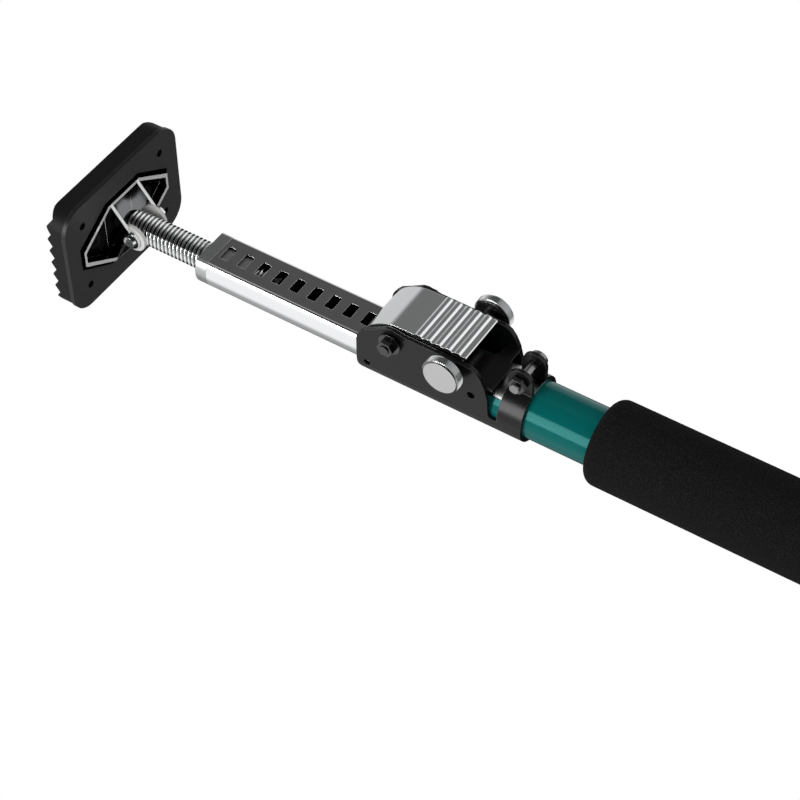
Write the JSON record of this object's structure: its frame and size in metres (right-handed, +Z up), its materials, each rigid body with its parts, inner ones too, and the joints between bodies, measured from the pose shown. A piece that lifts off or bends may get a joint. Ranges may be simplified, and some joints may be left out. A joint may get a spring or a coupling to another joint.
{
  "type": "telescopic support pole",
  "caption": "Telescopic support pole with swivel pads, a slotted inner tube, a lever lock with knobs, a foam grip and a threaded head for fine adjustment.",
  "frame": {"origin": "middle of the foot pad's sole, on the flat crest of its middle ridge", "axes": "+Z up along the pole to the head, +X along the swivel pins, the locking lever faces -Y"},
  "size_m": [0.092, 0.0687, 1.7235],
  "materials": {
    "teal_paint": "gloss",
    "black_paint": "satin",
    "chrome": "polished",
    "zinc": "satin",
    "black_steel": "satin",
    "grey_plug": "satin",
    "black_plastic": "matte",
    "nylon": "satin",
    "foam": "matte",
    "black_rubber": "matte"
  },
  "bodies": {
    "foot_pad": {"foot_tread": "black_rubber", "foot_back_plate": "black_paint", "foot_bracket": "zinc", "foot_rivets": "zinc", "foot_pin": "zinc", "foot_washers": "nylon"},
    "pole": {"foot_stud": "zinc", "foot_plug": "grey_plug", "foot_plug_pin": "zinc", "outer_tube": "teal_paint", "foam_grip": "foam", "mouth_bush": "black_plastic", "housing": "black_paint", "band_liner": "zinc", "clamp_bolt": "zinc", "clamp_nut": "black_steel", "cross_plate": "black_paint", "pivot_bolt": "black_steel", "pivot_washer": "black_steel", "pivot_nut": "black_steel", "pivot_sleeve": "zinc", "lever_spring": "zinc"},
    "lever": {"lever": "chrome", "lever_tooth": "black_steel"},
    "lock": {"lock_shaft": "zinc", "near_knob": "chrome", "far_knob": "chrome"},
    "inner": {"inner_tube": "chrome", "end_plug": "grey_plug", "guide_bush": "black_plastic"},
    "feed": {"stop_ring": "black_steel"},
    "rod": {"threaded_rod": "chrome"},
    "head_pad": {"head_washers": "nylon", "head_pin": "zinc", "head_rivets": "zinc", "head_bracket": "zinc", "head_back_plate": "black_paint", "head_tread": "black_rubber"}
  },
  "joints": [
    {"name": "foot_swivel", "type": "hinge", "parent": "foot_pad", "child": "pole", "pos_m": [0, 0, 0.0243], "axis": [1, 0, 0], "range_deg": [-35, 35]},
    {"name": "tube_slide", "type": "slide", "parent": "pole", "child": "inner", "axis": [0, 0, 1], "range_m": [-0.084, 1.176]},
    {"name": "rod_feed", "type": "slide", "parent": "inner", "child": "feed", "axis": [0, 0, 1], "range_m": [-0.0289, 0.0121]},
    {"name": "rod_turn", "type": "hinge", "parent": "feed", "child": "rod", "pos_m": [0, 0.0017, 1.6503], "axis": [0, 0, 1], "range_deg": [-4320, 1800]},
    {"name": "head_swivel", "type": "hinge", "parent": "rod", "child": "head_pad", "pos_m": [0, 0.0017, 1.6992], "axis": [1, 0, 0], "range_deg": [-35, 35]},
    {"name": "lever_pivot", "type": "hinge", "parent": "pole", "child": "lever", "pos_m": [0, -0.0205, 1.5373], "axis": [1, 0, 0], "range_deg": [-5, 7], "stiffness_Nm_per_rad": 1.2, "deforming": ["lever_spring"]},
    {"name": "lock_turn", "type": "hinge", "parent": "pole", "child": "lock", "pos_m": [0, -0.023, 1.5046], "axis": [1, 0, 0], "range_deg": [-90, 0]}
  ],
  "couplings": [
    {"joint": "rod_feed", "follows": "rod_turn", "m_per_rad": 0.00038197}
  ]
}
